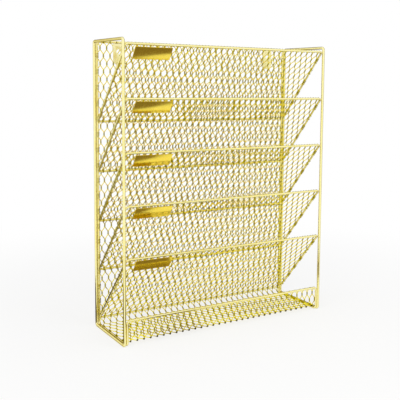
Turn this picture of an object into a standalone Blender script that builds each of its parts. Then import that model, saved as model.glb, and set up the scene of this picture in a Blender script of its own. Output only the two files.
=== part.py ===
"""Wall file organizer of welded wire: five sloping pockets over a shallow tray.

Metres, +Z up, front towards -Y, wall side towards +Y. The origin is the middle of the
footprint, on the surface that the organizer stands on.
"""

import math

import bmesh
import bpy
from mathutils import Matrix, Vector

# Overall outer size
WIDTH = 0.325
DEPTH = 0.105
HEIGHT = 0.405

# Wire diameters
SIDE_WIRE = 0.0040
PANEL_WIRE = 0.0032
POCKET_WIRE = 0.0030

# Bend radii, at the centre line of the wire
SIDE_BEND = 0.0060
PANEL_BEND = 0.0050
POCKET_BEND = 0.0040

# Fits
WELD_GAP = 0.0003
INNER_SETBACK = 0.0004

# Pockets: the first hangs from the top, the last stays over the tray
POCKET_COUNT = 5
FIRST_POCKET_DROP = 0.0080
LAST_POCKET_LIFT = 0.0130
POCKET_FALL = 0.1040

# Height of the tray's lip, at the centre line of its wire
LIP_HEIGHT = 0.0346

# Wire netting: upright hexagonal gaps
GAP_WIDTH = 0.0390
GAP_ROW_PITCH = 0.0430
GAP_UPRIGHT = 0.0208
STRAND = 0.0030
NET_THICKNESS = 0.0012
NET_RIM = 0.0025
LEAST_GAP_AREA = 0.00006

# Label plates, under the top wire of each pocket
PLATE_LENGTH = 0.0535
PLATE_WIDTH = 0.0190
PLATE_THICKNESS = 0.0008
PLATE_INSET = 0.0140
PLATE_DROP = 0.0035

# Hanger tabs, under the top wire of the back
TAB_WIDTH = 0.0160
TAB_LENGTH = 0.0300
TAB_THICKNESS = 0.0010
TAB_INSET = 0.0370
TAB_HOLE = 0.0065
TAB_HOLE_DROP = 0.0110

# Cut corners of plates and nets, and the shortest edge of a net's gap
CUT_BEND = 0.0003
LEAST_EDGE = 0.00015
MERGE_DISTANCE = 0.00001

# Facets of the round shapes, and trial turns when a bend is seated
BEND_STEPS = 4
HOLE_STEPS = 12
SEAT_STEPS = 30

# Centre lines of the side frames
POST_X = WIDTH / 2 - SIDE_WIRE / 2
POST_Y = DEPTH / 2 - SIDE_WIRE / 2

# Centre lines of the panel frame, which runs down the back, along the floor and up the lip
PANEL_X = POST_X - SIDE_WIRE / 2 - WELD_GAP - PANEL_WIRE / 2
BACK_Y = DEPTH / 2 - INNER_SETBACK - PANEL_WIRE / 2
LIP_Y = -BACK_Y
PANEL_TOP = HEIGHT - INNER_SETBACK - PANEL_WIRE / 2
PANEL_BOTTOM = INNER_SETBACK + PANEL_WIRE / 2

# One pocket, seen along X: its slope starts at the front posts and ends at the back
POCKET_FRONT_Y = -(DEPTH / 2 - INNER_SETBACK - POCKET_WIRE / 2)
POCKET_REAR_Y = BACK_Y - PANEL_WIRE / 2 - WELD_GAP - POCKET_WIRE / 2
POCKET_REACH = POCKET_REAR_Y - POCKET_FRONT_Y
POCKET_SLOPE = math.atan2(POCKET_FALL, POCKET_REACH)
POCKET_LENGTH = math.hypot(POCKET_FALL, POCKET_REACH)
FIRST_POCKET_TOP = HEIGHT - FIRST_POCKET_DROP
LAST_POCKET_TOP = LAST_POCKET_LIFT + POCKET_FALL
POCKET_PITCH = (FIRST_POCKET_TOP - LAST_POCKET_TOP) / max(POCKET_COUNT - 1, 1)

# Colour, metallic value and roughness of each finish
WIRE_FINISH = ((0.86, 0.72, 0.36), 1.0, 0.22)
NET_FINISH = ((0.80, 0.66, 0.32), 1.0, 0.30)
PLATE_FINISH = ((0.90, 0.70, 0.24), 1.0, 0.12)


def start_collection(name):
    """Empty the scene and return a new collection for the organizer."""
    for existing in list(bpy.data.objects):
        bpy.data.objects.remove(existing, do_unlink=True)
    collection = bpy.data.collections.new(name)
    bpy.context.scene.collection.children.link(collection)
    return collection


def dress(item, finish):
    """Give a sub-part its own material."""
    colour, metallic, roughness = finish
    material = bpy.data.materials.new(item.name + "_finish")
    material.use_nodes = True
    shader = material.node_tree.nodes["Principled BSDF"]
    shader.inputs["Base Color"].default_value = (*colour, 1.0)
    shader.inputs["Metallic"].default_value = metallic
    shader.inputs["Roughness"].default_value = roughness
    item.data.materials.append(material)


def place(collection, name, data, parent, matrix, finish):
    """Link a named sub-part under its parent and give it its material."""
    item = bpy.data.objects.new(name, data)
    collection.objects.link(item)
    item.parent = parent
    item.matrix_local = matrix
    dress(item, finish)
    return item


def place_empty(collection, name, parent, matrix):
    """Add an empty that carries a group of sub-parts."""
    empty = bpy.data.objects.new(name, None)
    empty.empty_display_size = POCKET_WIRE
    collection.objects.link(empty)
    empty.parent = parent
    empty.matrix_local = matrix
    return empty


def bent_path(corners, bend):
    """Return the points of a closed path whose corners are rounded to the bend radius."""
    points = []
    for index, corner in enumerate(corners):
        towards = (corners[index - 1] - corner).normalized()
        away = (corners[(index + 1) % len(corners)] - corner).normalized()
        half_angle = towards.angle(away) / 2
        centre = corner + (towards + away).normalized() * bend / math.sin(half_angle)
        start = corner + towards * bend / math.tan(half_angle) - centre
        axis = towards.cross(away)
        turn = math.pi - 2 * half_angle
        for step in range(BEND_STEPS + 1):
            swing = Matrix.Rotation(-turn * step / BEND_STEPS, 3, axis)
            points.append(centre + swing @ start)
    return points


def add_spline(curve, points):
    """Add one closed polygon to a curve."""
    spline = curve.splines.new("POLY")
    spline.points.add(len(points) - 1)
    for control, point in zip(spline.points, points):
        control.co = (*point, 1.0)
    spline.use_cyclic_u = True


def wire_loop(name, corners, bend, diameter):
    """Return the curve of a closed wire loop."""
    curve = bpy.data.curves.new(name, "CURVE")
    curve.dimensions = "3D"
    curve.bevel_depth = diameter / 2
    curve.bevel_resolution = 2
    add_spline(curve, bent_path(corners, bend))
    return curve


def flat_plate(name, outlines, thickness):
    """Return the curve of a flat plate: the first outline is its edge, the others its holes."""
    curve = bpy.data.curves.new(name, "CURVE")
    curve.dimensions = "2D"
    curve.fill_mode = "BOTH"
    curve.extrude = thickness / 2
    for outline in outlines:
        add_spline(curve, [(x, y, 0.0) for x, y in outline])
    return curve


def rectangle(left, right, bottom, top, bend):
    """Return a rectangle's outline with rounded corners."""
    corners = [
        Vector((left, bottom, 0.0)),
        Vector((right, bottom, 0.0)),
        Vector((right, top, 0.0)),
        Vector((left, top, 0.0)),
    ]
    return [point.to_2d() for point in bent_path(corners, bend)]


def inner_bend(bend, diameter):
    """Return the radius that lets a net's corner fit inside a loop's bend."""
    return max(bend - diameter / 2 - WELD_GAP, CUT_BEND)


def outline_area(outline):
    """Return the area inside an outline."""
    doubled = sum(a.cross(b) for a, b in zip(outline, outline[1:] + outline[:1]))
    return abs(doubled) / 2


def cut_back(outline, axis, limit, side):
    """Cut an outline back to a straight limit: side is 1 to keep what is below it, -1 above."""
    kept = []
    for here, after in zip(outline, outline[1:] + outline[:1]):
        room_here = side * (limit - here[axis])
        room_after = side * (limit - after[axis])
        if room_here >= 0:
            kept.append(here)
        if (room_here > 0) != (room_after > 0) and room_here != room_after:
            kept.append(here.lerp(after, room_here / (room_here - room_after)))
    return kept


def without_doubles(outline):
    """Drop the points of an outline that repeat the one before."""
    return [
        here
        for before, here in zip([outline[-1]] + outline[:-1], outline)
        if (here - before).length > LEAST_EDGE
    ]


def gap_outline():
    """Return one upright hexagonal gap, centred on the origin, between strand edges."""
    half_width = GAP_WIDTH / 2
    rise = GAP_ROW_PITCH - GAP_UPRIGHT
    steepness = rise / half_width
    setback = STRAND / 2
    lean = math.hypot(1.0, steepness)
    side = half_width - setback
    shoulder = GAP_UPRIGHT / 2 + setback * (steepness - lean)
    apex = GAP_UPRIGHT / 2 + rise - setback * lean
    return [
        Vector(point)
        for point in (
            (0.0, -apex),
            (side, -shoulder),
            (side, shoulder),
            (0.0, apex),
            (-side, shoulder),
            (-side, -shoulder),
        )
    ]


def net_gaps(left, right, bottom, top):
    """Return the outlines of a net's gaps, cut back to the rim along its four edges."""
    gaps = []
    gap = gap_outline()
    rows = math.ceil((top - bottom) / GAP_ROW_PITCH) + 1
    columns = math.ceil((right - left) / GAP_WIDTH) + 1
    for row in range(rows):
        shift = GAP_WIDTH / 2 * (row % 2)
        for column in range(columns):
            centre = Vector((left + GAP_WIDTH * column + shift, top - GAP_ROW_PITCH * row))
            outline = [centre + point for point in gap]
            for axis, limit, side in (
                (0, left + NET_RIM, -1),
                (0, right - NET_RIM, 1),
                (1, bottom + NET_RIM, -1),
                (1, top - NET_RIM, 1),
            ):
                outline = cut_back(outline, axis, limit, side) if outline else outline
            outline = without_doubles(outline) if outline else outline
            if len(outline) > 2 and outline_area(outline) > LEAST_GAP_AREA:
                gaps.append(outline)
    return gaps


def net_plate(name, left, right, bottom, top, bend):
    """Return the curve of a flat net with rounded corners."""
    edge = rectangle(left, right, bottom, top, bend)
    return flat_plate(name, [edge] + net_gaps(left, right, bottom, top), NET_THICKNESS)


def folded_net(name, curve):
    """Return a net's mesh, folded upwards along its line Y = 0, with the lip on the -Y side."""
    flat = bpy.data.objects.new(name + "_flat", curve)
    bpy.context.scene.collection.objects.link(flat)
    graph = bpy.context.evaluated_depsgraph_get()
    mesh = bpy.data.meshes.new_from_object(flat.evaluated_get(graph))
    mesh.name = name
    bpy.data.objects.remove(flat, do_unlink=True)
    shape = bmesh.new()
    shape.from_mesh(mesh)
    bmesh.ops.remove_doubles(shape, verts=shape.verts, dist=MERGE_DISTANCE)
    everything = shape.verts[:] + shape.edges[:] + shape.faces[:]
    bmesh.ops.bisect_plane(shape, geom=everything, dist=MERGE_DISTANCE, plane_no=(0, 1, 0))
    for corner in shape.verts:
        across, height = corner.co.y, corner.co.z
        if across < NET_THICKNESS / 2:
            corner.co.y = height
            corner.co.z = height - min(across, 0.0)
    shape.to_mesh(mesh)
    shape.free()
    return mesh


def build_side_frames(collection, root):
    """Bend the two outer frames, each one loop of wire round a side."""
    corners = [
        Vector((0.0, -POST_Y, SIDE_WIRE / 2)),
        Vector((0.0, POST_Y, SIDE_WIRE / 2)),
        Vector((0.0, POST_Y, HEIGHT - SIDE_WIRE / 2)),
        Vector((0.0, -POST_Y, HEIGHT - SIDE_WIRE / 2)),
    ]
    for name, x in (("left_side_frame", -POST_X), ("right_side_frame", POST_X)):
        loop = wire_loop(name, corners, SIDE_BEND, SIDE_WIRE)
        place(collection, name, loop, root, Matrix.Translation((x, 0.0, 0.0)), WIRE_FINISH)


def build_panel_frame(collection, root):
    """Bend one loop of wire that frames the back, the tray's floor and its lip."""
    corners = [
        Vector((-PANEL_X, LIP_Y, LIP_HEIGHT)),
        Vector((PANEL_X, LIP_Y, LIP_HEIGHT)),
        Vector((PANEL_X, LIP_Y, PANEL_BOTTOM)),
        Vector((PANEL_X, BACK_Y, PANEL_BOTTOM)),
        Vector((PANEL_X, BACK_Y, PANEL_TOP)),
        Vector((-PANEL_X, BACK_Y, PANEL_TOP)),
        Vector((-PANEL_X, BACK_Y, PANEL_BOTTOM)),
        Vector((-PANEL_X, LIP_Y, PANEL_BOTTOM)),
    ]
    loop = wire_loop("panel_frame", corners, PANEL_BEND, PANEL_WIRE)
    place(collection, "panel_frame", loop, root, Matrix(), WIRE_FINISH)


def build_back_net(collection, root):
    """Fill the back of the panel frame with netting, down to the level of the tray's."""
    margin = PANEL_WIRE / 2 + WELD_GAP
    bend = inner_bend(PANEL_BEND, PANEL_WIRE)
    half = PANEL_X - margin
    net = net_plate("back_mesh", -half, half, PANEL_BOTTOM + margin, PANEL_TOP - margin, bend)
    upright = Matrix.Translation((0.0, BACK_Y, 0.0)) @ Matrix.Rotation(math.pi / 2, 4, "X")
    place(collection, "back_mesh", net, root, upright, NET_FINISH)


def pocket_half_width():
    """Return half the width of a pocket's loop whose bends rest against the front posts."""
    reach = SIDE_WIRE / 2 + WELD_GAP + POCKET_WIRE / 2
    widths = []
    for step in range(SEAT_STEPS + 1):
        turn = math.pi / 2 * step / SEAT_STEPS
        inwards = POCKET_BEND * (1 - math.cos(turn))
        backwards = POCKET_BEND * (1 - math.sin(turn)) * math.cos(POCKET_SLOPE)
        behind_post = POST_Y + POCKET_FRONT_Y + backwards
        beside_post = math.sqrt(max(reach**2 - behind_post**2, 0.0))
        widths.append(POST_X - beside_post + inwards)
    return min(widths)


def build_pocket(collection, root, number):
    """Build one pocket: a sloping frame, its netting and its label plate.

    In the pocket's own frame X runs along the top wire, Y down the slope, and Z up and
    back, into the pocket.
    """
    name = f"pocket_{number}"
    top = FIRST_POCKET_TOP - POCKET_PITCH * (number - 1)
    tilt = Matrix.Rotation(-POCKET_SLOPE, 4, "X")
    seat = Matrix.Translation((0.0, POCKET_FRONT_Y, top)) @ tilt
    slope = place_empty(collection, name + "_slope", root, seat)
    half_width = pocket_half_width()
    corners = [
        Vector((-half_width, 0.0, 0.0)),
        Vector((half_width, 0.0, 0.0)),
        Vector((half_width, POCKET_LENGTH, 0.0)),
        Vector((-half_width, POCKET_LENGTH, 0.0)),
    ]
    loop = wire_loop(name + "_frame", corners, POCKET_BEND, POCKET_WIRE)
    place(collection, name + "_frame", loop, slope, Matrix(), WIRE_FINISH)
    margin = POCKET_WIRE / 2 + WELD_GAP
    half = half_width - margin
    bend = inner_bend(POCKET_BEND, POCKET_WIRE)
    net = net_plate(name + "_mesh", -half, half, margin, POCKET_LENGTH - margin, bend)
    place(collection, name + "_mesh", net, slope, Matrix(), NET_FINISH)
    left = -half_width + PLATE_INSET
    edge = rectangle(left, left + PLATE_LENGTH, PLATE_DROP, PLATE_DROP + PLATE_WIDTH, CUT_BEND)
    plate = flat_plate(name + "_label_plate", [edge], PLATE_THICKNESS)
    outwards = -(NET_THICKNESS / 2 + WELD_GAP + PLATE_THICKNESS / 2)
    on_net = Matrix.Translation((0.0, 0.0, outwards))
    place(collection, name + "_label_plate", plate, slope, on_net, PLATE_FINISH)


def build_tray_net(collection, root):
    """Lay the tray's netting from the back's netting to the lip, and turn it up behind the lip."""
    margin = PANEL_WIRE / 2 + WELD_GAP
    seat = margin + NET_THICKNESS / 2
    fold = Vector((0.0, LIP_Y + seat, PANEL_BOTTOM + seat))
    half = PANEL_X - margin
    floor_end = BACK_Y - NET_THICKNESS / 2 - WELD_GAP - fold.y
    lip_end = LIP_HEIGHT + PANEL_WIRE / 2 - fold.z
    flat = net_plate("tray_mesh", -half, half, -lip_end, floor_end, CUT_BEND)
    net = folded_net("tray_mesh", flat)
    place(collection, "tray_mesh", net, root, Matrix.Translation(fold), NET_FINISH)


def tab_outline():
    """Return a hanger tab's edge: square at the top, a half circle at the bottom."""
    radius = TAB_WIDTH / 2
    straight = TAB_LENGTH - radius
    edge = [Vector((radius, 0.0)), Vector((-radius, 0.0))]
    for step in range(HOLE_STEPS + 1):
        angle = math.pi + math.pi * step / HOLE_STEPS
        edge.append(Vector((radius * math.cos(angle), radius * math.sin(angle) - straight)))
    return edge


def tab_hole():
    """Return the round hanging hole of a tab."""
    turns = [2 * math.pi * step / HOLE_STEPS for step in range(HOLE_STEPS)]
    radius = TAB_HOLE / 2
    return [
        Vector((radius * math.cos(turn), radius * math.sin(turn) - TAB_HOLE_DROP))
        for turn in turns
    ]


def build_hanger_tabs(collection, root):
    """Hang the two tabs under the top wire of the back, in front of its netting."""
    y = BACK_Y - NET_THICKNESS / 2 - WELD_GAP - TAB_THICKNESS / 2
    z = PANEL_TOP - PANEL_WIRE / 2 - WELD_GAP
    x = WIDTH / 2 - TAB_INSET
    for name, across in (("left_hanger_tab", -x), ("right_hanger_tab", x)):
        plate = flat_plate(name, [tab_outline(), tab_hole()], TAB_THICKNESS)
        upright = Matrix.Translation((across, y, z)) @ Matrix.Rotation(math.pi / 2, 4, "X")
        place(collection, name, plate, root, upright, PLATE_FINISH)


def main():
    """Build the organizer."""
    collection = start_collection("wall_file_organizer")
    root = place_empty(collection, "organizer_origin", None, Matrix())
    build_side_frames(collection, root)
    build_panel_frame(collection, root)
    build_back_net(collection, root)
    for number in range(1, POCKET_COUNT + 1):
        build_pocket(collection, root, number)
    build_tray_net(collection, root)
    build_hanger_tabs(collection, root)


main()
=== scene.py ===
"""Looks of a gold wire wall file organizer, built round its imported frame.

Every piece is drawn in metres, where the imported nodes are: wire frames bent and welded from
round wire, netting of twisted strands tied into them, polished label plates and hanger tabs.
Angles in the constants and fields are in degrees.
"""

import logging
import math
from dataclasses import dataclass, field
from enum import Enum
from itertools import pairwise

import bmesh
import bpy
from mathutils import Matrix, Vector, noise


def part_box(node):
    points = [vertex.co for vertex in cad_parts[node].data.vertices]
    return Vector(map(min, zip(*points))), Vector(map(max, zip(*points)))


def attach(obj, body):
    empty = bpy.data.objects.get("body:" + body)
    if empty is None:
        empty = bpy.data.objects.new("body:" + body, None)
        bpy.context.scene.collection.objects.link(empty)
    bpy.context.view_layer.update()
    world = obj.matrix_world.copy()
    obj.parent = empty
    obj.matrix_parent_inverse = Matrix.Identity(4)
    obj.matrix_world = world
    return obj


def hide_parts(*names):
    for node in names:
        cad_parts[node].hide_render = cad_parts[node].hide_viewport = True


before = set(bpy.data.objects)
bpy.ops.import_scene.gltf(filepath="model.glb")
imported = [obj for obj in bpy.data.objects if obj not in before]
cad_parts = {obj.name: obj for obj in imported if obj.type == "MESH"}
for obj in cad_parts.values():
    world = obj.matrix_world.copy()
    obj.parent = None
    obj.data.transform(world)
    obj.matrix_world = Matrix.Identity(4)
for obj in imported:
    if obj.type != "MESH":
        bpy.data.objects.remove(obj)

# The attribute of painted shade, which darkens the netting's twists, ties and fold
PAINTED_SHADE = "painted_shade"
POCKET_COUNT = 5

# The seed of the netting's wander, which isn't 0, because 0 stands for the clock
WANDER_SEED = 1

# How near two points are one: along a wire, and where strands meet
MERGE_DISTANCE = 0.000002
SEAM_DISTANCE = 0.00001

# The angle past which an edge stays sharp, and that of a plate's rims
SHARP_ANGLE = 50.0
RIM_ANGLE = 60.0

# How much a mesh is enlarged while its faces are turned outwards, a power of two to lose nothing
ENLARGEMENT = 1024.0

RIM_STEPS = 2
BEAD_SEGMENTS = 10
BEAD_RINGS = 6
X_AXIS = Vector((1.0, 0.0, 0.0))
Y_AXIS = Vector((0.0, 1.0, 0.0))
Z_AXIS = Vector((0.0, 0.0, 1.0))
WHITE = (1.0, 1.0, 1.0, 1.0)

log = logging.getLogger("organizer")


class Slot(Enum):
    """The record's material slots."""

    WIRE = "gold_wire"
    NETTING = "gold_netting"
    PLATE = "gold_plate"


class Edge(Enum):
    """The four edges of a netting panel, as the direction from the panel to its frame wire."""

    LEFT = (-1.0, 0.0)
    RIGHT = (1.0, 0.0)
    BOTTOM = (0.0, -1.0)
    TOP = (0.0, 1.0)

    def outwards(self) -> Vector:
        """Return the edge's direction as a vector."""
        return Vector((*self.value, 0.0))


class NodeSheet:
    """Lays out the nodes of one material or world.

    The Mix node has other sockets too, so those that mix colours are given by their numbers.
    """

    MIX_INPUTS = (0, 6, 7)
    MIX_RESULT = 2
    NOISE_MIDDLE = (0.3, 0.7)

    def __init__(self, tree: bpy.types.NodeTree) -> None:
        """Start on an empty node tree.

        Args:
            tree: the tree to fill.
        """
        self.tree = tree
        tree.nodes.clear()

    def add(
        self, kind: str, *values: object, settings: dict[str, str] | None = None, **inputs: object
    ) -> bpy.types.Node:
        """Add a node and fill its sockets.

        Args:
            kind: the node's type name.
            *values: values or linked sockets for the node's first sockets, in their order.
            settings: the node's own properties.
            **inputs: values or linked sockets, by socket name with _ for a blank.

        Returns:
            The new node.
        """
        node = self.tree.nodes.new(kind)
        for name, value in (settings or {}).items():
            setattr(node, name, value)
        for socket, value in zip(node.inputs, values):
            self.fill(socket, value)
        for name, value in inputs.items():
            self.fill(node.inputs[name.replace("_", " ")], value)
        return node

    def fill(self, socket: bpy.types.NodeSocket, value: object) -> None:
        """Link another socket to a socket, or set the socket's value.

        Args:
            socket: the socket to fill.
            value: the other socket, or the value.
        """
        if isinstance(value, bpy.types.NodeSocket):
            self.tree.links.new(value, socket)
        else:
            socket.default_value = value

    def mix(self, share: object, low: object, high: object) -> bpy.types.NodeSocket:
        """Mix two colours.

        Args:
            share: the share of the high colour.
            low: colour or socket at a share of nothing.
            high: colour or socket at a full share.

        Returns:
            The mixed colour's socket.
        """
        node = self.add("ShaderNodeMix", settings={"data_type": "RGBA"})
        for index, value in zip(self.MIX_INPUTS, (share, low, high)):
            self.fill(node.inputs[index], value)
        return node.outputs[self.MIX_RESULT]

    def noise(self, place: bpy.types.NodeSocket, size: float, detail: float) -> bpy.types.NodeSocket:
        """Add a noise whose blotches are about one size across.

        Args:
            place: the coordinates.
            size: the blotches' size in metres.
            detail: the number of finer layers.

        Returns:
            The noise's value.
        """
        node = self.add("ShaderNodeTexNoise", Vector=place, Scale=1 / size, Detail=detail)
        return node.outputs[0]

    def span(self, value: bpy.types.NodeSocket, low: float, high: float) -> bpy.types.NodeSocket:
        """Stretch a noise's middle range over the span from low to high.

        Args:
            value: the noise.
            low: the result at the noise's low end.
            high: the result at its high end.

        Returns:
            The stretched value.
        """
        node = self.add("ShaderNodeMapRange", value, *self.NOISE_MIDDLE, low, high)
        return node.outputs[0]


def blank_material(name: str) -> tuple[bpy.types.Material, NodeSheet]:
    """Make a material without nodes.

    Args:
        name: the material's name.

    Returns:
        The material and the sheet for its nodes.
    """
    material = bpy.data.materials.new(name)
    material.use_nodes = True
    return material, NodeSheet(material.node_tree)


def set_out(name: str, data: bpy.types.ID) -> bpy.types.Object:
    """Set an object out in the scene.

    Args:
        name: the object's name.
        data: its mesh, lamp or camera.

    Returns:
        The object.
    """
    made = bpy.data.objects.new(name, data)
    bpy.context.scene.collection.objects.link(made)
    return made


@dataclass(frozen=True)
class GoldFinish:
    """Thin gold plating over polished steel."""

    name: str
    pale: tuple[float, float, float]
    deep: tuple[float, float, float]
    drift_size: float
    smooth: float
    rough: float
    haze_size: float
    ripple_size: float
    ripple_height: float
    rim: tuple[float, float, float]
    # The colour of painted shade, where the attribute marks it
    painted_shade: tuple[float, float, float] | None = None

    def material(self) -> bpy.types.Material:
        """Return the finish as a material, made once.

        Returns:
            The material of this finish.
        """
        known = bpy.data.materials.get(self.name)
        if known:
            return known
        material, sheet = blank_material(self.name)
        place = sheet.add("ShaderNodeTexCoord").outputs["Object"]
        drift = sheet.span(sheet.noise(place, self.drift_size, detail=2.0), 0.0, 1.0)
        colour = sheet.mix(drift, (*self.pale, 1.0), (*self.deep, 1.0))
        # Painted shade: where the attribute marks it, the colour darkens towards near black
        if self.painted_shade:
            painted_shade_layer = sheet.add("ShaderNodeAttribute", settings={"attribute_name": PAINTED_SHADE})
            colour = sheet.mix(painted_shade_layer.outputs["Fac"], colour, (*self.painted_shade, 1.0))
        haze = sheet.span(sheet.noise(place, self.haze_size, detail=3.0), self.smooth, self.rough)
        ripple = sheet.noise(place, self.ripple_size, detail=1.0)
        bump = sheet.add("ShaderNodeBump", Height=ripple, Distance=self.ripple_height, Strength=1.0)
        shader = sheet.add(
            "ShaderNodeBsdfPrincipled",
            Base_Color=colour,
            Roughness=haze,
            Metallic=1.0,
            Specular_Tint=(*self.rim, 1.0),
            Normal=bump.outputs[0],
        )
        sheet.add("ShaderNodeOutputMaterial", Surface=shader.outputs[0])
        return material


WIRE_GOLD = GoldFinish(
    name="wire_gold",
    pale=(1.0, 0.94, 0.50),
    deep=(0.99, 0.89, 0.38),
    drift_size=0.035,
    smooth=0.10,
    rough=0.20,
    haze_size=0.006,
    ripple_size=0.004,
    ripple_height=0.00004,
    rim=(0.36, 0.25, 0.06),
)
NETTING_GOLD = GoldFinish(
    name="netting_gold",
    pale=(1.0, 0.89, 0.012),
    deep=(0.96, 0.81, 0.006),
    drift_size=0.025,
    smooth=0.14,
    rough=0.28,
    haze_size=0.004,
    ripple_size=0.002,
    ripple_height=0.00003,
    rim=(1.0, 0.85, 0.06),
    # Painted shade for the twists, ties and fold
    painted_shade=(0.05, 0.037, 0.0004),
)
PLATE_GOLD = GoldFinish(
    name="plate_gold",
    pale=(1.0, 0.80, 0.120),
    deep=(0.99, 0.76, 0.100),
    drift_size=0.020,
    smooth=0.10,
    rough=0.14,
    haze_size=0.005,
    ripple_size=0.015,
    ripple_height=0.000008,
    rim=(1.0, 0.9, 0.5),
)
TAB_GOLD = GoldFinish(
    name="tab_gold",
    pale=(0.96, 0.89, 0.50),
    deep=(0.94, 0.86, 0.44),
    drift_size=0.015,
    smooth=0.24,
    rough=0.32,
    haze_size=0.006,
    ripple_size=0.015,
    ripple_height=0.000008,
    rim=(1.0, 0.95, 0.6),
)


@dataclass
class Workpiece:
    """A mesh on the bench, drawn with bmesh operators until it is finished."""

    mesh: bmesh.types.BMesh = field(default_factory=bmesh.new)

    def draw_wire(self, path: list[Vector], diameter: float, sides: int, across: Vector) -> None:
        """Draw a round wire along an open path, with flat cut ends.

        Args:
            path: the points of the wire's centre line.
            diameter: the wire's diameter.
            sides: the sides of its section.
            across: a direction that the wire never runs in.
        """
        stations = stations_along(path, across, closed=False)
        ring = self.draw_ring(stations[0], diameter, sides)
        bmesh.ops.edgeloop_fill(self.mesh, edges=ring)
        ring = self._push(ring, stations)
        bmesh.ops.edgeloop_fill(self.mesh, edges=ring)
        self._put_in_order()

    def draw_loop(self, path: list[Vector], diameter: float, sides: int, across: Vector) -> None:
        """Draw a closed loop of round wire.

        Args:
            path: the points of the loop's centre line.
            diameter: the wire's diameter.
            sides: the sides of its section.
            across: a direction that the wire never runs in.
        """
        stations = stations_along(path, across, closed=True)
        ring = self.draw_ring(stations[0], diameter, sides)
        self._push(ring, stations + stations[:1])
        bmesh.ops.remove_doubles(self.mesh, verts=self.mesh.verts, dist=MERGE_DISTANCE)
        self._put_in_order()

    def draw_open(self, stations: list[Matrix], diameter: float, sides: int) -> None:
        """Draw a wire without ends, which its neighbours will join.

        Args:
            stations: the places of the wire's rings.
            diameter: the wire's diameter.
            sides: the sides of its section.
        """
        self._push(self.draw_ring(stations[0], diameter, sides), stations)
        self._put_in_order()

    def draw_ring(self, station: Matrix, diameter: float, sides: int) -> list[bmesh.types.BMEdge]:
        """Draw a ring.

        Args:
            station: its place, whose Z is the ring's axis.
            diameter: its diameter.
            sides: its number of sides.

        Returns:
            The ring's edges.
        """
        made = bmesh.ops.create_circle(self.mesh, radius=diameter / 2, segments=sides, matrix=station)
        return list(dict.fromkeys(edge for corner in made["verts"] for edge in corner.link_edges))

    def add_bead(self, centre: Vector, radii: Vector) -> None:
        """Add a weld bead.

        Args:
            centre: the bead's middle.
            radii: its radii along X, Y and Z.
        """
        shape = Matrix.Translation(centre) @ Matrix.Diagonal((*radii, 1.0))
        bmesh.ops.create_uvsphere(
            self.mesh, u_segments=BEAD_SEGMENTS, v_segments=BEAD_RINGS, radius=1.0, matrix=shape
        )

    def round_rims(self, width: float) -> None:
        """Round the sharp rims of a plate.

        Args:
            width: how far from the rims the rounding starts.
        """
        limit = math.radians(RIM_ANGLE)
        rims = [edge for edge in self.mesh.edges if edge.calc_face_angle() > limit]
        bmesh.ops.bevel(
            self.mesh,
            geom=rims,
            offset=width,
            segments=RIM_STEPS,
            profile=0.5,
            affect="EDGES",
            material=-1,
        )

    def painted_shade(self, reach: float, share: float) -> None:
        """Paint shade on the surface near the middle.

        Args:
            reach: how far along Y from the middle the shade is painted.
            share: how much of the painted shade's colour shows there.
        """
        layers = self.mesh.verts.layers.float
        painted_shade_layer = layers.get(PAINTED_SHADE) or layers.new(PAINTED_SHADE)
        for corner in self.mesh.verts:
            if abs(corner.co.y) < reach:
                corner[painted_shade_layer] = share

    def _push(self, ring: list[bmesh.types.BMEdge], stations: list[Matrix]) -> list[bmesh.types.BMEdge]:
        """Push a ring from station to station and return the last ring's edges."""
        for before, after in pairwise(stations):
            made = bmesh.ops.extrude_edge_only(self.mesh, edges=ring)["geom"]
            corners = {item for item in made if isinstance(item, bmesh.types.BMVert)}
            edges = [item for item in made if isinstance(item, bmesh.types.BMEdge)]
            ring = [edge for edge in edges if corners.issuperset(edge.verts)]
            step = after @ before.inverted()
            bmesh.ops.transform(self.mesh, matrix=step, verts=list(corners))
        return ring

    def _put_in_order(self) -> None:
        """Sort the edges and faces by their corners, because extruding leaves them in any order.

        It comes last, because edges and faces picked before it are others after it.
        """
        self.mesh.verts.index_update()
        for items in (self.mesh.edges, self.mesh.faces):
            ordered = sorted(items, key=lambda item: sorted(corner.index for corner in item.verts))
            ranks = {item: rank for rank, item in enumerate(ordered)}
            items.sort(key=ranks.get)
            items.index_update()

    def _turn_outwards(self) -> None:
        """Point the faces outwards, at a larger scale, because the operator skips very small ones."""
        mesh = self.mesh
        bmesh.ops.scale(mesh, vec=(ENLARGEMENT,) * 3, verts=mesh.verts)
        bmesh.ops.recalc_face_normals(mesh, faces=mesh.faces)
        bmesh.ops.scale(mesh, vec=(1 / ENLARGEMENT,) * 3, verts=mesh.verts)

    def take(self, other: "Workpiece", places: list[Vector]) -> None:
        """Add a copy of another workpiece at every place.

        Args:
            other: the workpiece to copy, drawn round the origin.
            places: where the copies go.
        """
        held = bpy.data.meshes.new("held")
        other.mesh.to_mesh(held)
        last = Vector()
        for place in places:
            held.transform(Matrix.Translation(place - last))
            self.mesh.from_mesh(held)
            last = place
        bpy.data.meshes.remove(held)

    def lift_off(self, name: str, material: bpy.types.Material) -> bpy.types.Object:
        """Take the mesh off the bench and set it out in the scene.

        Args:
            name: the object's name.
            material: its material.

        Returns:
            The object.
        """
        shape = bpy.data.meshes.new(name)
        self.mesh.to_mesh(shape)
        self.mesh.free()
        shape.materials.append(material)
        return set_out(name, shape)

    def finish(self, name: str, slot: Slot, finish: GoldFinish, node: str) -> None:
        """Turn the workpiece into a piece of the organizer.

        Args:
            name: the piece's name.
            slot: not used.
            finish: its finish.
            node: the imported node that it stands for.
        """
        self._turn_outwards()
        piece = self.lift_off(name, finish.material())
        piece.data.shade_smooth()
        piece.data.set_sharp_from_angle(angle=math.radians(SHARP_ANGLE))
        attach(piece, "root")
        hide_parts(node)
        log.info("%s: %d faces", name, len(piece.data.polygons))


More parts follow.
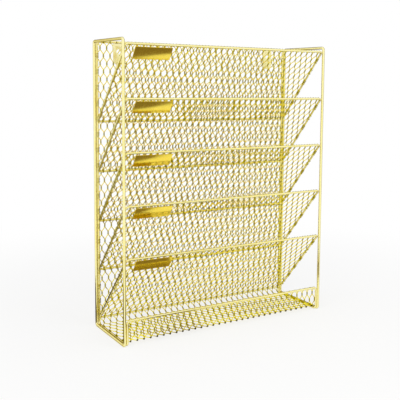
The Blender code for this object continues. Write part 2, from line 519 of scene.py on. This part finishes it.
def stations_along(path: list[Vector], across: Vector, closed: bool) -> list[Matrix]:
    """Return the places of a wire's rings along its path.

    Args:
        path: the points of the centre line.
        across: a direction that the path never runs in.
        closed: whether the path returns to its start.

    Returns:
        A matrix for each point, whose Z runs along the wire.
    """
    last = len(path) - 1
    stations = []
    for index, point in enumerate(path):
        before = path[index - 1] if closed or index else point
        after = path[(index + 1) % len(path)] if closed or index < last else point
        towards = (point - before).normalized()
        away = (after - point).normalized()
        stations.append(station(point, towards + away, across))
    return stations


def station(point: Vector, heading: Vector, across: Vector) -> Matrix:
    """Return the place of one ring.

    Args:
        point: the ring's centre.
        heading: the wire's direction there.
        across: a direction that the wire never runs in.

    Returns:
        A matrix whose Z runs along the wire.
    """
    along = heading.normalized()
    side = across.cross(along).normalized()
    turned = Matrix((side, along.cross(side), along)).transposed()
    return Matrix.Translation(point) @ turned.to_4x4()


def bent_loop(corners: list[Vector], bend: float, steps: int) -> list[Vector]:
    """Return a closed path whose corners are bent round a radius.

    Args:
        corners: the corners before bending.
        bend: the bend's radius, at the wire's centre line.
        steps: the steps in each bend.

    Returns:
        The points of the path.
    """
    points = []
    for index, corner in enumerate(corners):
        towards = (corners[index - 1] - corner).normalized()
        away = (corners[(index + 1) % len(corners)] - corner).normalized()
        half_angle = towards.angle(away) / 2
        centre = corner + (towards + away).normalized() * bend / math.sin(half_angle)
        start = corner + towards * bend / math.tan(half_angle) - centre
        axis = towards.cross(away)
        turn = math.pi - 2 * half_angle
        for step in range(steps + 1):
            points.append(centre + Matrix.Rotation(-turn * step / steps, 3, axis) @ start)
    return points


@dataclass
class Netting:
    """Hexagonal netting of twisted strands, in its own plane: X across, Y along the twists."""

    column_pitch: float = 0.00974
    row_pitch: float = 0.01086
    twist_length: float = 0.0060
    strand: float = 0.00120
    sides: int = 5
    twist_steps: int = 6
    turns: float = 1.5
    # How dark the painted shade in the twists is, and how far along them it reaches
    painted_shade_share: float = 0.54
    painted_shade_reach: float = 0.4
    wander: float = 0.00022
    wander_size: float = 0.013

    def cell(self) -> Workpiece:
        """Draw one twist and the two strands that leave it for the row below.

        Returns:
            The cell, round the origin.
        """
        cell = Workpiece()
        for start in (math.pi, 0.0):
            cell.draw_open(self._strand_stations(start), self.strand, self.sides)
        # Painted shade in the middle of each twist, where the strands wind together
        cell.painted_shade(self.twist_length * self.painted_shade_reach, self.painted_shade_share)
        return cell

    def _strand_stations(self, start: float) -> list[Matrix]:
        """Return the ring places of one strand, from its twist to the next twist's start."""
        reach = self.strand / 2
        points = []
        for step in range(self.twist_steps + 1):
            share = step / self.twist_steps
            angle = start + 2 * math.pi * self.turns * share
            height = self.twist_length * (0.5 - share)
            points.append(Vector((reach * math.cos(angle), height, reach * math.sin(angle))))
        shift = Vector((-math.cos(start) * self.column_pitch / 2, -self.row_pitch, 0.0))
        before = points[-1] - shift
        points.append(points[0] + shift)
        after = points[1] + shift
        padded = [before, *points, after]
        return [
            station(here, (here - last).normalized() + (ahead - here).normalized(), Z_AXIS)
            for last, here, ahead in zip(padded, padded[1:], padded[2:])
        ]

    def sheet(self, half: float, bottom: float, top: float, first: Vector) -> Workpiece:
        """Weave a sheet that covers a rectangle, with loose strands past its edges.

        Args:
            half: half the rectangle's width, to each side of the Y axis.
            bottom: its bottom edge.
            top: its top edge.
            first: the middle of one twist, to which all the others are lined up.

        Returns:
            The sheet.
        """
        columns_before = math.ceil((first.x + half) / self.column_pitch) + 1
        columns_after = math.ceil((half - first.x) / self.column_pitch) + 1
        rows_above = math.ceil((top - first.y) / self.row_pitch) + 1
        rows_below = math.ceil((first.y - bottom) / self.row_pitch) + 1
        row = Workpiece()
        columns = range(-columns_before, columns_after + 1)
        row.take(self.cell(), [Vector((column * self.column_pitch, 0.0, 0.0)) for column in columns])
        places = []
        for number in range(-rows_above, rows_below + 1):
            shift = self.column_pitch / 2 * (number % 2)
            places.append(first + Vector((shift, -number * self.row_pitch, 0.0)))
        sheet = Workpiece()
        sheet.take(row, places)
        bmesh.ops.remove_doubles(sheet.mesh, verts=sheet.mesh.verts, dist=SEAM_DISTANCE)
        self._let_wander(sheet)
        return sheet

    def _let_wander(self, sheet: Workpiece) -> None:
        """Move the strands a little off their true places, as on real netting."""
        noise.seed_set(WANDER_SEED)
        for corner in sheet.mesh.verts:
            drift = noise.noise_vector(corner.co / self.wander_size)
            corner.co.x += drift.x * self.wander
            corner.co.y += drift.y * self.wander

    def fit(
        self,
        sheet: Workpiece,
        half: float,
        bottom: float,
        top: float,
        bend: float,
        rounded: tuple[Edge, ...],
    ) -> dict[Edge, list[Vector]]:
        """Cut a sheet to a frame's centre line and close the cut strands.

        Args:
            sheet: the sheet to cut.
            half: half the frame's width, to each side of the Y axis.
            bottom: the frame's bottom.
            top: its top.
            bend: the radius of its bends.
            rounded: the ends, bottom or top, whose two corners follow the frame's bends.

        Returns:
            The middles of the strands cut along each edge, without those in the bends.
        """
        limits = {Edge.LEFT: half, Edge.RIGHT: half, Edge.BOTTOM: -bottom, Edge.TOP: top}
        cuts = {edge: self.trim(sheet, edge.outwards(), limit) for edge, limit in limits.items()}
        corners = []
        for side in (Edge.LEFT, Edge.RIGHT):
            for end in rounded:
                outwards = (side.outwards() + end.outwards()).normalized()
                reach = (limits[side] + limits[end]) * math.sqrt(0.5) - bend * (math.sqrt(2.0) - 1.0)
                corners.append((outwards, reach))
                self.trim(sheet, outwards, reach)
        for edge, places in cuts.items():
            others = [(other.outwards(), limit) for other, limit in limits.items() if other is not edge]
            cuts[edge] = [
                place
                for place in places
                if all(place.dot(outwards) < reach for outwards, reach in others + corners)
            ]
        return cuts

    def trim(self, sheet: Workpiece, outwards: Vector, limit: float) -> list[Vector]:
        """Cut a sheet along a straight line and close the cut strands.

        Args:
            sheet: the sheet to cut.
            outwards: the direction from what is kept to what is cut away.
            limit: the cut's distance from the plane's origin, in that direction.

        Returns:
            The middles of the cut strands.
        """
        mesh = sheet.mesh
        bmesh.ops.bisect_plane(
            mesh,
            geom=[*mesh.verts, *mesh.edges, *mesh.faces],
            dist=MERGE_DISTANCE,
            plane_co=outwards * limit,
            plane_no=outwards,
            clear_outer=True,
        )
        open_edges = [item for item in mesh.edges if item.is_boundary]
        cut = [item for item in open_edges if on_plane(item, outwards, limit)]
        closed = bmesh.ops.holes_fill(mesh, edges=cut, sides=0)["faces"]
        return [face.calc_center_median() for face in closed]


def on_plane(edge: bmesh.types.BMEdge, normal: Vector, limit: float) -> bool:
    """Return whether an edge lies in a plane, given by its normal and its distance."""
    return all(abs(corner.co.dot(normal) - limit) < SEAM_DISTANCE for corner in edge.verts)


@dataclass
class Tie:
    """A strand's end, curled round a frame wire.

    Its angles start where the wire faces the panel and grow towards the panel's +Z side.
    """

    wire: float
    strand: float = 0.00080
    start: float = -30.0
    end: float = 130.0
    steps: int = 8
    sides: int = 5
    slack: float = 0.00015
    # How dark the painted shade over the curled end is
    painted_shade_share: float = 0.58

    def curl(self, panel: Workpiece, places: list[Vector], edge: Edge) -> None:
        """Curl the strands' ends round the wire along an edge.

        Args:
            panel: the panel that the ends belong to.
            places: where the strands meet the wire's axis.
            edge: the edge that the wire runs along.
        """
        inwards = -edge.outwards()
        axis = inwards.cross(Z_AXIS)
        reach = self.wire / 2 + self.strand / 2 + self.slack
        path = []
        for step in range(self.steps + 1):
            share = step / self.steps
            angle = math.radians(self.start + (self.end - self.start) * share)
            drift = axis * self.strand * (share - 0.5)
            path.append((inwards * math.cos(angle) + Z_AXIS * math.sin(angle)) * reach + drift)
        curled = Workpiece()
        curled.draw_wire(path, self.strand, self.sides, axis)
        # Painted shade over the whole curled end
        curled.painted_shade(self.wire, self.painted_shade_share)
        panel.take(curled, places)


@dataclass
class SideFrame:
    """One outer frame: a loop of thick wire that stands on the floor."""

    node: str
    wire: float = 0.0040
    bend: float = 0.0034
    sides: int = 18
    bend_steps: int = 8

    def build(self) -> None:
        """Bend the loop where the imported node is."""
        low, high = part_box(self.node)
        x = (low.x + high.x) / 2
        radius = self.wire / 2
        front, rear = low.y + radius, high.y - radius
        bottom, top = low.z + radius, high.z - radius
        corners = [
            Vector((x, front, bottom)),
            Vector((x, rear, bottom)),
            Vector((x, rear, top)),
            Vector((x, front, top)),
        ]
        loop = Workpiece()
        path = bent_loop(corners, self.bend, self.bend_steps)
        loop.draw_loop(path, self.wire, self.sides, X_AXIS)
        self.dress(loop)

    def dress(self, loop: Workpiece) -> None:
        """Plate the loop and let it stand for its node."""
        loop.finish(self.node + "_wire", Slot.WIRE, WIRE_GOLD, self.node)


@dataclass
class Panel:
    """The panel: one loop of wire down the back, along the floor and up the lip, and its netting.

    The loop runs along X, Y and Z, so its askew direction is none of these.
    """

    wire: float = 0.0032
    bend: float = 0.0050
    sides: int = 16
    bend_steps: int = 8
    askew: Vector = field(default_factory=lambda: Vector((0.6, 0.5, 0.4)))
    weld: Vector = field(default_factory=lambda: Vector((0.0006, 0.0014, 0.0022)))
    weld_heights: tuple[float, ...] = (0.024, 0.205, 0.388)
    fold_radius: float = 0.0022
    # How far along the tray's fold the painted shade reaches, as a share of the fold's arc
    fold_painted_shade: float = 0.6
    foot_radius: float = 0.0120
    back_twist: Vector = field(default_factory=lambda: Vector((-0.1522, 0.3946, 0.0)))
    lip_column: float = -0.1506
    back_netting: Netting = field(default_factory=Netting)
    tray_netting: Netting = field(default_factory=lambda: Netting(row_pitch=0.01105))
    right: float = field(init=False)
    front: float = field(init=False)
    rear: float = field(init=False)
    bottom: float = field(init=False)
    top: float = field(init=False)
    lip: float = field(init=False)
    lift: float = field(init=False)
    foot: float = field(init=False)

    def build(self) -> None:
        """Bend the loop, then weave the netting of the back and of the tray."""
        low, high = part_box("panel_frame")
        radius = self.wire / 2
        self.right = high.x - radius
        self.front, self.rear = low.y + radius, high.y - radius
        self.bottom, self.top = low.z + radius, high.z - radius
        self.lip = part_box("tray_mesh")[1].z - radius
        self.lift = radius + self.tray_netting.strand
        self.foot = self.bottom + self.lift + self.foot_radius * (1 - math.pi / 2)
        self.dress(self.bend_loop(), self.weave_back(), self.weave_tray())

    def bend_loop(self) -> Workpiece:
        """Bend the loop and weld it to the side frames.

        Returns:
            The loop.
        """
        corners = [
            Vector((-self.right, self.front, self.lip)),
            Vector((self.right, self.front, self.lip)),
            Vector((self.right, self.front, self.bottom)),
            Vector((self.right, self.rear, self.bottom)),
            Vector((self.right, self.rear, self.top)),
            Vector((-self.right, self.rear, self.top)),
            Vector((-self.right, self.rear, self.bottom)),
            Vector((-self.right, self.front, self.bottom)),
        ]
        loop = Workpiece()
        path = bent_loop(corners, self.bend, self.bend_steps)
        loop.draw_loop(path, self.wire, self.sides, self.askew)
        beside = self.right + self.wire / 2
        for x in (-beside, beside):
            for height in self.weld_heights:
                loop.add_bead(Vector((x, self.rear, height)), self.weld)
        return loop

    def weave_back(self) -> Workpiece:
        """Weave the back's netting, tie it to the loop and bend its foot forward.

        Returns:
            The netting, in its place.
        """
        netting = self.back_netting
        panel = netting.sheet(self.right, self.foot, self.top, self.back_twist)
        cuts = netting.fit(panel, self.right, self.foot, self.top, self.bend, (Edge.TOP,))
        straight = self.bottom + self.lift + self.foot_radius
        tie = Tie(wire=self.wire)
        for edge, places in cuts.items():
            tie.curl(panel, [place for place in places if place.y > straight], edge)
        for corner in panel.mesh.verts:
            across, height, out = corner.co
            turn = max(straight - height, 0.0) / self.foot_radius
            reach = self.foot_radius - out
            y = self.rear - self.foot_radius + reach * math.cos(turn)
            z = max(height, straight) - reach * math.sin(turn)
            corner.co = Vector((across, y, z))
        return panel

    def weave_tray(self) -> Workpiece:
        """Weave the tray's netting, tie it to the loop and fold it up behind the lip.

        It goes on from the back's netting, twist by twist, at the end of the back's foot. An even
        number of rows from the back's topmost twists to the fold keeps the columns in line.

        Returns:
            The netting, in its place.
        """
        netting = self.tray_netting
        arc = self.fold_radius * math.pi / 2
        place = Vector((0.0, self.front + self.lift, self.bottom + self.lift))
        run = self.rear - self.foot_radius - place.y - self.fold_radius + arc / 2
        rise = self.lip - place.z - self.fold_radius + arc / 2
        rows_behind = (self.back_twist.y - self.foot) / self.back_netting.row_pitch
        rows = 2 * round((rows_behind + run / netting.row_pitch) / 2) - rows_behind
        stretch = run / (rows * netting.row_pitch)
        drift = math.remainder(self.back_twist.x - self.lip_column, netting.column_pitch)
        first = Vector((self.lip_column, 0.0, 0.0))
        half = self.right + abs(drift)
        panel = netting.sheet(half, -run / stretch, rise, first)
        for corner in panel.mesh.verts:
            behind = min(corner.co.y, 0.0) * stretch
            corner.co.x -= drift * behind / run
            corner.co.y = behind + max(corner.co.y, 0.0)
        cuts = netting.fit(panel, self.right, -run, rise, self.bend, (Edge.TOP,))
        cuts[Edge.BOTTOM] = []
        tie = Tie(wire=self.wire, start=75.0, end=130.0, steps=4)
        down = Vector((0.0, 0.0, -self.lift))
        for edge, places in cuts.items():
            clear = [place + down for place in places if abs(place.y) > self.bend]
            tie.curl(panel, clear, edge)
        # Painted shade along the fold, at full strength
        panel.painted_shade(arc * self.fold_painted_shade, share=1.0)
        for corner in panel.mesh.verts:
            across, height, out = corner.co
            along = height + arc / 2
            turn = min(max(along / self.fold_radius, 0.0), math.pi / 2)
            reach = self.fold_radius - out
            y = place.y + self.fold_radius - min(along, 0.0) - reach * math.sin(turn)
            z = place.z + self.fold_radius + max(along - arc, 0.0) - reach * math.cos(turn)
            corner.co = Vector((across, y, z))
        return panel

    def dress(self, loop: Workpiece, back: Workpiece, tray: Workpiece) -> None:
        """Plate the loop and the two nettings."""
        loop.finish("panel_wire", Slot.WIRE, WIRE_GOLD, "panel_frame")
        back.finish("back_netting", Slot.NETTING, NETTING_GOLD, "back_mesh")
        tray.finish("tray_netting", Slot.NETTING, NETTING_GOLD, "tray_mesh")


@dataclass
class Pocket:
    """One sloping pocket: its frame, netting and label plate.

    In the pocket's own plane X runs along the top wire, Y up the slope, and Z up and back,
    into the pocket.
    """

    number: int
    wire: float = 0.0030
    bend: float = 0.0040
    sides: int = 16
    bend_steps: int = 8
    first_twist: Vector = field(default_factory=lambda: Vector((-0.1506, -0.0057, 0.0)))
    netting: Netting = field(default_factory=lambda: Netting(row_pitch=0.01118))
    plate_corner: float = 0.0006
    plate_corner_steps: int = 4
    plate_edge: float = 0.00012
    plate_bow: Vector = field(default_factory=lambda: Vector((0.00010, 0.00032)))
    plate_flare: float = 7.0
    plate_strips: int = 10
    plate_skirt: float = 0.00030
    name: str = field(init=False)
    seat: Matrix = field(init=False)

    def build(self) -> None:
        """Bend the frame, weave and tie the netting, and cut the plate."""
        self.name = f"pocket_{self.number}"
        low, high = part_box(self.name + "_frame")
        radius = self.wire / 2
        run = high.y - low.y - self.wire
        fall = high.z - low.z - self.wire
        length = math.hypot(run, fall)
        lean = Matrix.Rotation(-math.atan2(fall, run), 4, "X")
        flip = Matrix.Diagonal((1.0, -1.0, 1.0, 1.0))
        self.seat = Matrix.Translation((0.0, low.y + radius, high.z - radius)) @ lean @ flip
        right = high.x - radius
        corners = [
            Vector((-right, 0.0, 0.0)),
            Vector((right, 0.0, 0.0)),
            Vector((right, -length, 0.0)),
            Vector((-right, -length, 0.0)),
        ]
        loop = Workpiece()
        path = bent_loop(corners, self.bend, self.bend_steps)
        loop.draw_loop(path, self.wire, self.sides, Z_AXIS)
        panel = self.netting.sheet(right, -length, 0.0, self.first_twist)
        over_top = Tie(wire=self.wire, start=-20.0, end=120.0)
        round_side = Tie(wire=self.wire, start=-120.0, end=150.0, steps=10)
        ends = (Edge.BOTTOM, Edge.TOP)
        for edge, places in self.netting.fit(panel, right, -length, 0.0, self.bend, ends).items():
            tie = over_top if edge is Edge.TOP else round_side
            tie.curl(panel, places, edge)
        plate = self.cut_plate()
        for part in (loop, panel):
            bmesh.ops.transform(part.mesh, matrix=self.seat, verts=part.mesh.verts)
        self.dress(loop, panel, plate)

    def cut_plate(self) -> Workpiece:
        """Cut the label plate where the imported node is, with rounded corners and a slight bow.

        Returns:
            The plate.
        """
        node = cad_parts[self.name + "_label_plate"]
        back = self.seat.inverted()
        corners = [back @ corner.co for corner in node.data.vertices]
        low = Vector([min(corner[axis] for corner in corners) for axis in range(3)])
        high = Vector([max(corner[axis] for corner in corners) for axis in range(3)])
        plate = Workpiece()
        mesh = plate.mesh
        shape = Matrix.Translation((low + high) / 2) @ Matrix.Diagonal((*(high - low), 1.0))
        bmesh.ops.create_cube(mesh, size=1.0, matrix=shape)
        upright = []
        for edge in mesh.edges:
            start, end = (corner.co.z for corner in edge.verts)
            if abs(start - end) > MERGE_DISTANCE:
                upright.append(edge)
        bmesh.ops.bevel(
            mesh,
            geom=upright,
            offset=self.plate_corner,
            segments=self.plate_corner_steps,
            profile=0.5,
            affect="EDGES",
            material=-1,
        )
        plate.round_rims(self.plate_edge)
        skirt = Vector((self.plate_skirt, self.plate_skirt, 0.0))
        cuts = [low.lerp(high, strip / self.plate_strips) for strip in range(1, self.plate_strips)]
        for cut in (low + skirt, *cuts, high - skirt):
            for across in (X_AXIS, Y_AXIS):
                bmesh.ops.bisect_plane(
                    mesh,
                    geom=[*mesh.verts, *mesh.edges, *mesh.faces],
                    dist=MERGE_DISTANCE,
                    plane_co=cut,
                    plane_no=across,
                )
        flare = math.tan(math.radians(self.plate_flare))
        for corner in mesh.verts:
            corner.co.z -= (high.y - corner.co.y) * flare
            for axis in range(2):
                share = (corner.co[axis] - low[axis]) / (high[axis] - low[axis])
                corner.co.z -= self.plate_bow[axis] * math.sin(math.pi * share)
        bmesh.ops.transform(mesh, matrix=self.seat, verts=mesh.verts)
        return plate

    def dress(self, loop: Workpiece, panel: Workpiece, plate: Workpiece) -> None:
        """Plate the three parts of the pocket."""
        loop.finish(self.name + "_wire", Slot.WIRE, WIRE_GOLD, self.name + "_frame")
        panel.finish(self.name + "_netting", Slot.NETTING, NETTING_GOLD, self.name + "_mesh")
        plate.finish(self.name + "_plate", Slot.PLATE, PLATE_GOLD, self.name + "_label_plate")


@dataclass
class HangerTab:
    """A tab with a round hanging hole, under the top wire of the back."""

    node: str
    hole: float = 0.0065
    hole_drop: float = 0.0110
    hole_sides: int = 32
    corner_share: float = 0.999
    corner_steps: int = 12
    rim: float = 0.00012

    def build(self) -> None:
        """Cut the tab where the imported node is."""
        low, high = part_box(self.node)
        x = (low.x + high.x) / 2
        half = (high.x - low.x) / 2
        tab = Workpiece()
        mesh = tab.mesh
        outline = [
            mesh.verts.new((x + across, low.y, z))
            for across, z in ((-half, high.z), (half, high.z), (half, low.z), (-half, low.z))
        ]
        mesh.faces.new(outline)
        bmesh.ops.bevel(
            mesh,
            geom=outline[2:],
            offset=half * self.corner_share,
            segments=self.corner_steps,
            profile=0.5,
            affect="VERTICES",
            material=-1,
        )
        outer = list(mesh.edges)
        bmesh.ops.delete(mesh, geom=list(mesh.faces), context="FACES_ONLY")
        centre = Matrix.Translation((x, low.y, high.z - self.hole_drop))
        inner = tab.draw_ring(centre @ Matrix.Rotation(math.pi / 2, 4, "X"), self.hole, self.hole_sides)
        bmesh.ops.triangle_fill(mesh, use_beauty=True, use_dissolve=True, edges=outer + inner)
        made = bmesh.ops.extrude_face_region(mesh, geom=list(mesh.faces))["geom"]
        moved = [item for item in made if isinstance(item, bmesh.types.BMVert)]
        bmesh.ops.translate(mesh, vec=(0.0, high.y - low.y, 0.0), verts=moved)
        bmesh.ops.recalc_face_normals(mesh, faces=mesh.faces)
        tab.round_rims(self.rim)
        self.dress(tab)

    def dress(self, tab: Workpiece) -> None:
        """Plate the tab."""
        tab.finish(self.node + "_plate", Slot.PLATE, TAB_GOLD, self.node)


class Tone(Enum):
    """The tones of the dark cards, as the light that the metal sees in them."""

    DARK = (0.09, 0.07, 0.04)
    BROWN = (0.22, 0.17, 0.10)
    OLIVE = (0.21, 0.17, 0.08)

    def material(self) -> bpy.types.Material:
        """Return the card's material, made once for each tone."""
        name = self.name.lower() + "_card"
        known = bpy.data.materials.get(name)
        if known:
            return known
        material, sheet = blank_material(name)
        tone = sheet.add("ShaderNodeEmission", Color=(*self.value, 1.0), Strength=1.0)
        sheet.add("ShaderNodeOutputMaterial", Surface=tone.outputs[0])
        return material


@dataclass(frozen=True)
class Card:
    """A dim glowing card that only the metal sees, a painted reflection of shade that gives the
    polished metal its dark edges.
    """

    name: str
    place: tuple[float, float, float]
    width: float
    height: float
    lean: float = 0.0
    turn: float = 0.0
    tone: Tone = Tone.BROWN

    def set_up(self) -> None:
        """Lay or stand the card where only the metal sees it."""
        sheet = Workpiece()
        size = Matrix.Diagonal((self.width, self.height, 1.0, 1.0))
        leaned = Matrix.Rotation(math.radians(self.lean), 4, "X")
        turned = Matrix.Rotation(math.radians(self.turn), 4, "Z")
        seat = Matrix.Translation(self.place) @ turned @ leaned @ size
        bmesh.ops.create_grid(sheet.mesh, x_segments=1, y_segments=1, size=0.5, matrix=seat)
        card = sheet.lift_off(self.name, self.tone.material())
        card.visible_camera = False
        card.visible_diffuse = False
        card.visible_transmission = False
        card.visible_shadow = False


@dataclass(frozen=True)
class SoftBox:
    """A soft lamp box."""

    name: str
    place: tuple[float, float, float]
    width: float
    height: float
    power: float

    def hang(self, aim: Vector) -> None:
        """Hang the box, facing its aim.

        Args:
            aim: the point that it lights.
        """
        data = bpy.data.lights.new(self.name, "AREA")
        data.shape = "RECTANGLE"
        data.size, data.size_y = self.width, self.height
        data.energy = self.power
        lamp = set_out(self.name, data)
        lamp.location = self.place
        lamp.rotation_euler = (aim - Vector(self.place)).to_track_quat("-Z", "Y").to_euler()
        lamp.visible_camera = False
        lamp.visible_glossy = False


@dataclass
class Studio:
    """The camera, the pale floor, the soft light and the dark cards."""

    camera_place: Vector = field(default_factory=lambda: Vector((-0.5257, -0.9173, 0.3492)))
    yaw: float = -33.54
    pitch: float = -6.05
    roll: float = 0.82
    focal_pixels: float = 725.5
    image_pixels: float = 400.0
    shift: tuple[float, float] = (-0.15, -0.10)
    sensor: float = 36.0
    aim: Vector = field(default_factory=lambda: Vector((0.0, 0.0, 0.2)))
    room_light: float = 0.45
    paper: tuple[float, float, float, float] = (0.90, 0.90, 0.90, 1.0)
    floor_radius: float = 4.0
    floor_sides: int = 64
    fade_reach: tuple[float, float] = (0.2, 0.8)
    fade_share: tuple[float, float] = (0.75, 1.0)
    boxes: tuple[SoftBox, ...] = (
        SoftBox("left_box", (-1.3, -1.5, 0.9), 1.5, 2.0, 17.0),
        SoftBox("right_box", (0.7, -1.7, 0.9), 1.2, 1.8, 12.0),
        SoftBox("top_box", (-0.1, -0.3, 1.9), 1.7, 1.3, 12.0),
    )
    # Painted reflection: cards on the floor stand in for the shaded floor round the organizer, standing
    # cards for dark surroundings
    cards: tuple[Card, ...] = (
        Card("front_card", (-0.016, -0.174, 0.0002), width=0.24, height=0.12, turn=-34.0),
        Card("far_card", (0.075, -0.285, 0.0003), width=0.22, height=0.20, turn=-6.0),
        Card("tray_card", (-0.079, -0.047, 0.0003), width=0.08, height=0.050),
        Card("left_card", (-0.30, 0.095, 0.0002), width=0.25, height=0.31, tone=Tone.DARK),
        Card("rear_floor_card", (0.45, 0.43, 0.0002), width=1.1, height=0.68, tone=Tone.OLIVE),
        Card("rear_card", (0.575, 0.78, 0.65), width=1.25, height=1.3, lean=90.0, tone=Tone.OLIVE),
        Card(
            "right_card",
            (1.20, 0.28, 0.60),
            width=1.0,
            height=1.2,
            lean=90.0,
            turn=90.0,
            tone=Tone.OLIVE,
        ),
    )

    def build(self) -> None:
        """Set the camera, the floor, the world, the lamps and the cards."""
        self.set_camera()
        self.lay_floor()
        self.light_world()
        for box in self.boxes:
            box.hang(self.aim)
        for card in self.cards:
            card.set_up()
        bpy.context.scene.view_settings.view_transform = "Standard"

    def set_camera(self) -> None:
        """Stand the camera where the photograph was taken from."""
        yaw, pitch, roll = (math.radians(angle) for angle in (self.yaw, self.pitch, self.roll))
        level_right = Vector((math.cos(yaw), math.sin(yaw), 0.0))
        level_ahead = Vector((-math.sin(yaw), math.cos(yaw), 0.0))
        ahead = level_ahead * math.cos(pitch) + Z_AXIS * math.sin(pitch)
        level_up = Z_AXIS * math.cos(pitch) - level_ahead * math.sin(pitch)
        right = level_right * math.cos(roll) + level_up * math.sin(roll)
        up = level_up * math.cos(roll) - level_right * math.sin(roll)
        turned = Matrix((right, up, -ahead)).transposed().to_4x4()
        data = bpy.data.cameras.new("camera")
        data.sensor_width = self.sensor
        data.lens = self.focal_pixels / self.image_pixels * self.sensor
        data.shift_x, data.shift_y = self.shift
        camera = set_out("camera", data)
        camera.matrix_world = Matrix.Translation(self.camera_place) @ turned
        bpy.context.scene.camera = camera

    def lay_floor(self) -> None:
        """Lay a pale floor that keeps the organizer's shadow and fades into the background."""
        material, sheet = blank_material("pale_floor")
        place = sheet.add("ShaderNodeTexCoord").outputs["Object"]
        away = sheet.add("ShaderNodeVectorMath", place, settings={"operation": "LENGTH"})
        fade = sheet.add(
            "ShaderNodeMapRange",
            away.outputs["Value"],
            *self.fade_reach,
            *self.fade_share,
            settings={"interpolation_type": "SMOOTHSTEP"},
        )
        seen = self.seen_directly(sheet)
        share = sheet.add("ShaderNodeMath", seen, fade.outputs[0], settings={"operation": "MULTIPLY"})
        paper = sheet.add("ShaderNodeBsdfDiffuse", Color=self.paper)
        glow = sheet.add("ShaderNodeEmission", Color=WHITE, Strength=1.0)
        mixed = sheet.add("ShaderNodeMixShader", share.outputs[0], paper.outputs[0], glow.outputs[0])
        sheet.add("ShaderNodeOutputMaterial", Surface=mixed.outputs[0])
        disc = Workpiece()
        bmesh.ops.create_circle(
            disc.mesh, cap_ends=True, segments=self.floor_sides, radius=self.floor_radius
        )
        floor = disc.lift_off("floor", material)

    def light_world(self) -> None:
        """Surround the set with plain light, and show white behind it and in its metal."""
        world = bpy.data.worlds.new("studio")
        bpy.context.scene.world = world
        world.use_nodes = True
        sheet = NodeSheet(world.node_tree)
        room = sheet.add("ShaderNodeBackground", Color=WHITE, Strength=self.room_light)
        white = sheet.add("ShaderNodeBackground", Color=WHITE, Strength=1.0)
        seen = self.seen_directly(sheet)
        mixed = sheet.add("ShaderNodeMixShader", seen, room.outputs[0], white.outputs[0])
        sheet.add("ShaderNodeOutputWorld", Surface=mixed.outputs[0])

    def seen_directly(self, sheet: NodeSheet) -> bpy.types.NodeSocket:
        """Return a share of 1 for rays from the camera, from metal and through glass.

        Args:
            sheet: the material or world that asks.

        Returns:
            The share's socket.
        """
        rays = sheet.add("ShaderNodeLightPath").outputs
        seen = rays["Is Camera Ray"]
        for name in ("Is Glossy Ray", "Is Transmission Ray"):
            either = sheet.add("ShaderNodeMath", seen, rays[name], settings={"operation": "MAXIMUM"})
            seen = either.outputs[0]
        return seen


def main() -> None:
    """Build the organizer, piece by piece, and its studio."""
    logging.basicConfig(level=logging.INFO, format="%(name)s: %(message)s")
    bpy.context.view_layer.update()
    for side in ("left", "right"):
        SideFrame(node=f"{side}_side_frame").build()
    Panel().build()
    for number in range(1, POCKET_COUNT + 1):
        Pocket(number=number).build()
    for side in ("left", "right"):
        HangerTab(node=f"{side}_hanger_tab").build()
    Studio().build()


if __name__ == "__main__":
    main()
